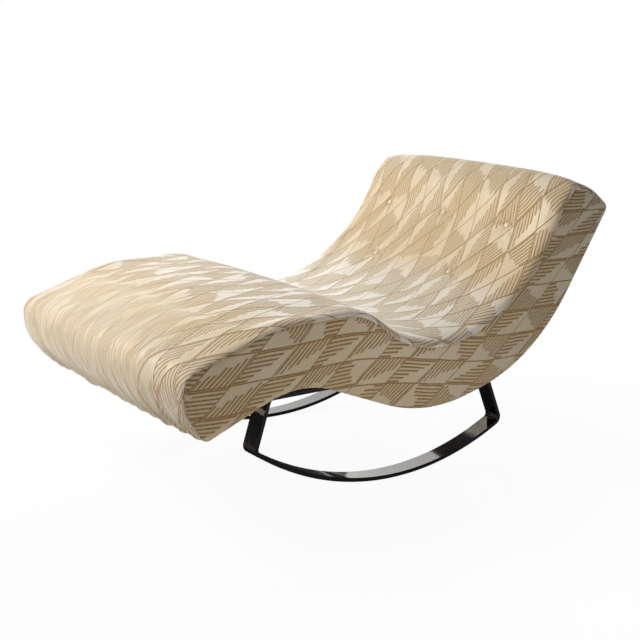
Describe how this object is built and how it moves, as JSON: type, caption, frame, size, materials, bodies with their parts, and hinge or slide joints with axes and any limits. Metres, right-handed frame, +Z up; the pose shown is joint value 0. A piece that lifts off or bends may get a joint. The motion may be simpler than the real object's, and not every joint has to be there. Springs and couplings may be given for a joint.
{
  "type": "rocking chaise lounge",
  "caption": "Wave-shaped upholstered chaise lounge with a tufted back, rocking on two closed loops of polished flat bar.",
  "frame": {"origin": "on the floor plane, under the middle of the chaise", "axes": "+X across the width, +Y from the foot to the head, +Z up"},
  "size_m": [0.813, 1.5739, 0.8786],
  "materials": {
    "plywood": "sanded plywood",
    "rail_timber": "planed softwood",
    "zinc_steel": "zinc plated",
    "polished_bar": "mirror polished",
    "burlap": "coarse weave",
    "webbing": "elastic weave",
    "foam": "open-cell foam",
    "upholstery": "cut-pile fabric, cream with tan lines",
    "dust_cloth": "matt cloth",
    "twine": "waxed twine",
    "fibre": "pressed fibre"
  },
  "bodies": {
    "root": {"side_panel_left": "plywood", "side_panel_right": "plywood", "rail_foot": "rail_timber", "rail_knee": "rail_timber", "rail_thigh": "rail_timber", "rail_base_front": "rail_timber", "rail_base_middle": "rail_timber", "rail_base_rear": "rail_timber", "rail_lumbar": "rail_timber", "rail_shoulder": "rail_timber", "rail_head": "rail_timber", "back_board": "plywood", "corner_blocks": "rail_timber", "frame_screws": "zinc_steel", "base_loop_left": "polished_bar", "base_loop_right": "polished_bar", "base_bolts": "zinc_steel", "base_washers": "zinc_steel", "base_tee_nuts": "zinc_steel", "burlap_liner": "burlap", "webbing_leg": "webbing", "webbing_seat": "webbing", "webbing_back": "webbing", "foam_pad": "foam", "top_cover": "upholstery", "side_pad_left": "foam", "side_cover_left": "upholstery", "side_pad_right": "foam", "side_cover_right": "upholstery", "back_cover": "upholstery", "dust_cover": "dust_cloth", "buttons": "upholstery", "button_twines": "twine", "button_anchors": "fibre"}
  },
  "joints": []
}
